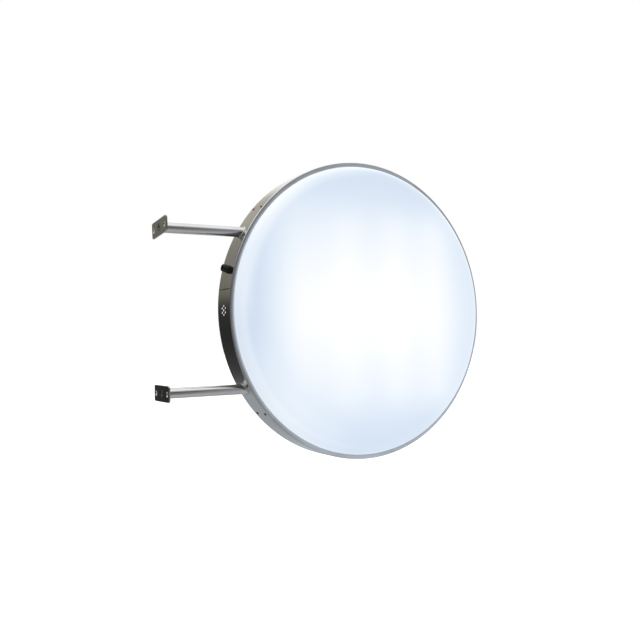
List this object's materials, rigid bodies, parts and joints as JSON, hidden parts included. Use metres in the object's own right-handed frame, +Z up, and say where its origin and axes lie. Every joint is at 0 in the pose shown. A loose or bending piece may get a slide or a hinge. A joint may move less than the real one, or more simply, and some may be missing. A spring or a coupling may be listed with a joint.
{
  "type": "lighted advertising sign",
  "caption": "Round double-sided LED light box in a polished steel drum, held out from a wall on two tube arms with slotted wall plates.",
  "frame": {"origin": "on the wall plane, midway between the two wall plates", "axes": "+X out from the wall along the arms towards the drum, -Y the way the front face looks, +Z up"},
  "size_m": [0.722, 0.091, 0.6],
  "materials": {
    "band_steel": "polished rolled stainless strip",
    "trim_steel": "satin stainless angle",
    "arm_steel": "drawn stainless tube",
    "plate_steel": "mill-finish stainless plate",
    "fastener_zinc": "zinc-plated steel",
    "aluminium": "plain extruded",
    "opal_acrylic": "gloss opal, lit from inside",
    "led_board": "white solder resist with clear lens blocks",
    "black_nylon": "moulded",
    "black_rubber": "matt",
    "terminal_plastic": "moulded",
    "lead_jacket": "matt"
  },
  "bodies": {
    "root": {"arm_spine": "fastener_zinc", "band_joint_plate": "fastener_zinc", "body_band": "band_steel", "driver_cap": "black_nylon", "driver_case": "aluminium", "driver_tray": "aluminium", "front_face": "opal_acrylic", "front_gasket": "black_rubber", "front_retaining_ring": "aluminium", "front_trim_ring": "trim_steel", "gland_body": "black_nylon", "gland_lock_nut": "black_nylon", "gland_washer": "black_rubber", "led_board_front_1": "led_board", "led_board_front_2": "led_board", "led_board_front_3": "led_board", "led_board_front_4": "led_board", "led_board_rear_1": "led_board", "led_board_rear_2": "led_board", "led_board_rear_3": "led_board", "led_board_rear_4": "led_board", "led_carrier_1": "aluminium", "led_carrier_2": "aluminium", "led_carrier_3": "aluminium", "led_carrier_4": "aluminium", "lower_arm_bolt": "fastener_zinc", "lower_arm_tube": "arm_steel", "lower_arm_wedge": "aluminium", "lower_drum_plug": "fastener_zinc", "lower_led_rail": "aluminium", "lower_plate_screw": "fastener_zinc", "lower_wall_plug": "fastener_zinc", "mains_lead": "lead_jacket", "output_lead": "lead_jacket", "rear_face": "opal_acrylic", "rear_gasket": "black_rubber", "rear_retaining_ring": "aluminium", "rear_trim_ring": "trim_steel", "terminal_block": "terminal_plastic", "trim_screw_front_street_bottom": "fastener_zinc", "trim_screw_front_street_top": "fastener_zinc", "trim_screw_front_wall_bottom": "fastener_zinc", "trim_screw_front_wall_top": "fastener_zinc", "trim_screw_rear_street_bottom": "fastener_zinc", "trim_screw_rear_street_top": "fastener_zinc", "trim_screw_rear_wall_bottom": "fastener_zinc", "trim_screw_rear_wall_top": "fastener_zinc", "upper_arm_bolt": "fastener_zinc", "upper_arm_tube": "arm_steel", "upper_arm_wedge": "aluminium", "upper_drum_plug": "fastener_zinc", "upper_led_rail": "aluminium", "upper_plate_screw": "fastener_zinc", "upper_wall_plug": "fastener_zinc"},
    "upper_plate": {"upper_wall_plate": "plate_steel"},
    "lower_plate": {"lower_wall_plate": "plate_steel"},
    "gland_seal_body": {"gland_seal": "black_rubber"},
    "gland_nut_body": {"gland_dome_nut": "black_nylon"}
  },
  "joints": [
    {"name": "upper_plate_swivel", "type": "hinge", "parent": "root", "child": "upper_plate", "pos_m": [0.0015, 0, 0.148], "axis": [1, 0, 0], "continuous": true},
    {"name": "lower_plate_swivel", "type": "hinge", "parent": "root", "child": "lower_plate", "pos_m": [0.0015, 0, -0.148], "axis": [1, 0, 0], "continuous": true},
    {"name": "gland_seal_travel", "type": "slide", "parent": "root", "child": "gland_seal_body", "axis": [-0.9673, 0, 0.2538], "range_m": [0, 0.003]},
    {"name": "gland_nut_turn", "type": "hinge", "parent": "gland_seal_body", "child": "gland_nut_body", "pos_m": [0.13182, -0.0044, 0.07613], "axis": [-0.9673, 0, 0.2538], "range_deg": [0, 720]}
  ],
  "couplings": [
    {"joint": "gland_seal_travel", "follows": "gland_nut_turn", "m_per_rad": 0.000238}
  ]
}
